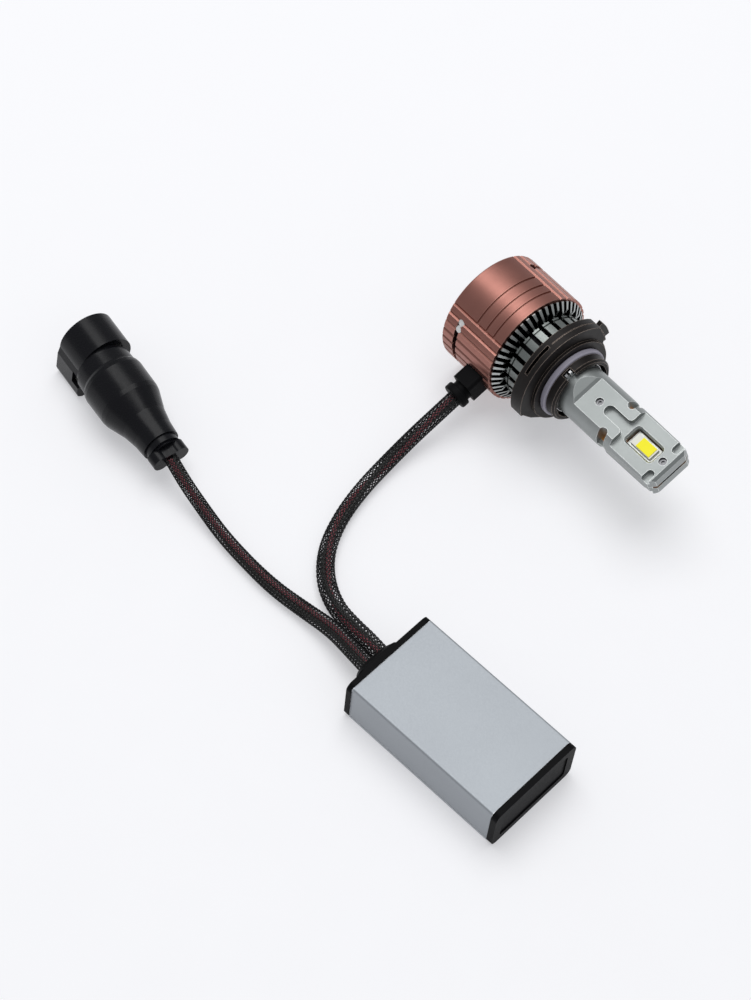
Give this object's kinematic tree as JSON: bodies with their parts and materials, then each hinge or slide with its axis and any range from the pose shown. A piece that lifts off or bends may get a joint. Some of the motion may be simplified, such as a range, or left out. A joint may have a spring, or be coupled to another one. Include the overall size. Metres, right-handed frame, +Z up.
{
  "type": "headlight bulb",
  "caption": "LED headlight bulb with twist collar, finned cooler and rear fan, an in-line driver box and a two-pin plug on braided cords.",
  "frame": {"origin": "centre of the collar ring that locates the bulb in the headlight", "axes": "+Z up with the object lying on a table, +X towards the lamp tip, the lamp axis tipped 6.3 degrees nose-up from +X"},
  "size_m": [0.1851, 0.1238, 0.0379],
  "materials": {
    "housing": "satin anodised rose-copper, turned and grooved",
    "vent_white": "matt white",
    "black_plastic": "fine moulded matt black",
    "black_gloss": "smooth black moulding",
    "screw_steel": "turned steel",
    "circuit_board": "green solder mask",
    "iron_core": "laminated, dull",
    "copper_wire": "enamelled copper",
    "bearing_bronze": "sintered",
    "magnet": "moulded ferrite",
    "black_sink": "black anodised with bare machined edges",
    "silver": "satin bead-blasted aluminium",
    "copper_board": "bare copper",
    "led_white": "white package margin",
    "phosphor": "yellow phosphor",
    "collar_metal": "dark brown-grey satin",
    "o_ring": "violet-grey rubber",
    "spring_wire": "bright spring wire",
    "driver_shell": "satin blasted extrusion",
    "capacitor": "drawn can",
    "component_black": "moulded",
    "tin": "tinned",
    "seal": "dark rubber",
    "braid": "braided sleeve with light tracer threads"
  },
  "bodies": {
    "lamp": {"rear_housing": "housing", "vent_plug": "vent_white", "rear_grille": "black_plastic", "fan_frame": "black_plastic", "fan_screws": "screw_steel", "fan_board": "circuit_board", "fan_stator": "iron_core", "fan_coils": "copper_wire", "fan_bearing": "bearing_bronze", "heat_sink": "black_sink", "lamp_plate_upper": "silver", "lamp_plate_lower": "silver", "core_board": "copper_board", "led_upper": "led_white", "led_lower": "led_white", "phosphor_upper": "phosphor", "phosphor_lower": "phosphor", "plate_screws": "screw_steel", "cord_gland": "black_plastic", "driver_case": "driver_shell", "driver_rear_cap": "black_plastic", "driver_front_cap": "black_plastic", "driver_board": "circuit_board", "driver_inductors": "component_black", "driver_capacitors": "capacitor", "driver_chips": "component_black", "cord_terminals": "tin", "plug_shroud": "black_gloss", "plug_terminals": "tin", "plug_boot": "black_plastic", "wire_seal": "seal", "lamp_cord": "braid", "supply_cord": "braid"},
    "fan": {"fan_rotor": "black_gloss", "fan_magnet": "magnet", "fan_shaft": "screw_steel"},
    "collar": {"collar": "collar_metal", "collar_o_ring": "o_ring", "collar_clip": "spring_wire"}
  },
  "joints": [
    {"name": "fan_spin", "type": "hinge", "parent": "lamp", "child": "fan", "pos_m": [0, 0, 0], "axis": [0.994, 0, 0.1097], "continuous": true},
    {"name": "collar_turn", "type": "hinge", "parent": "lamp", "child": "collar", "pos_m": [0, 0, 0], "axis": [0.994, 0, 0.1097], "continuous": true}
  ]
}
